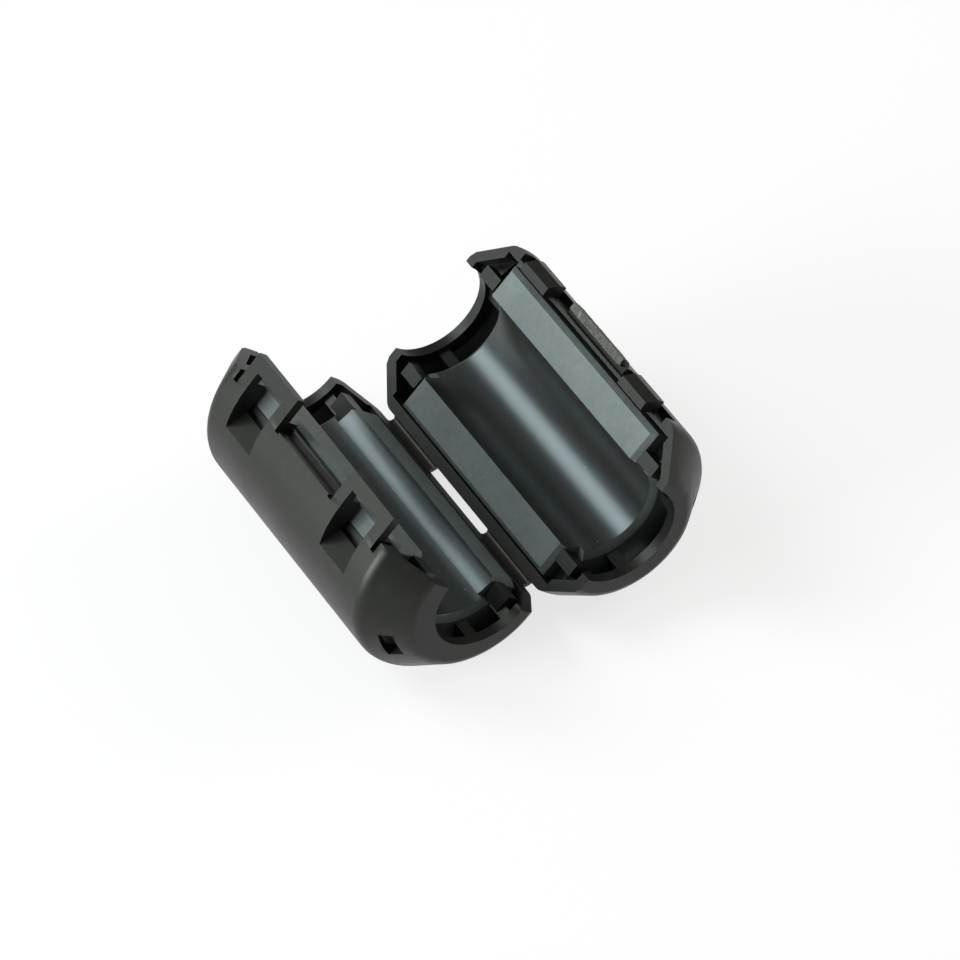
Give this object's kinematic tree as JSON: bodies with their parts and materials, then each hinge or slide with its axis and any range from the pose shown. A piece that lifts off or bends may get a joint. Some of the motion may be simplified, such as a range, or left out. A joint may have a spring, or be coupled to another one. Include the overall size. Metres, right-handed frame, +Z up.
{
  "type": "clip on ferrite bead",
  "caption": "Hinged clip-on ferrite bead, stored open: two black half shells on a living hinge, each with a half-round ferrite core, close over a cable and snap shut.",
  "frame": {"origin": "bottom centre: on the surface the open bead stands on, halfway between its two sides and its two ends, close beside the living hinge", "axes": "+Y along the cable bores and the hinge, +X towards the half with the hooks, +Z up"},
  "size_m": [0.0394, 0.0364, 0.0215],
  "materials": {
    "case": "satin",
    "ferrite": "matte"
  },
  "bodies": {
    "catch_half": {"catch_shell": "case", "catch_ferrite": "ferrite", "hinge_web_far": "case", "hinge_web_near": "case"},
    "latch_half": {"latch_shell": "case", "latch_ferrite": "ferrite"}
  },
  "joints": [
    {"name": "living_hinge", "type": "hinge", "parent": "catch_half", "child": "latch_half", "pos_m": [0.00044, 0, 0.00345], "axis": [0, 1, 0], "range_deg": [-89, 91], "stiffness_Nm_per_rad": 0.05, "deforming": ["hinge_web_far", "hinge_web_near"]}
  ]
}
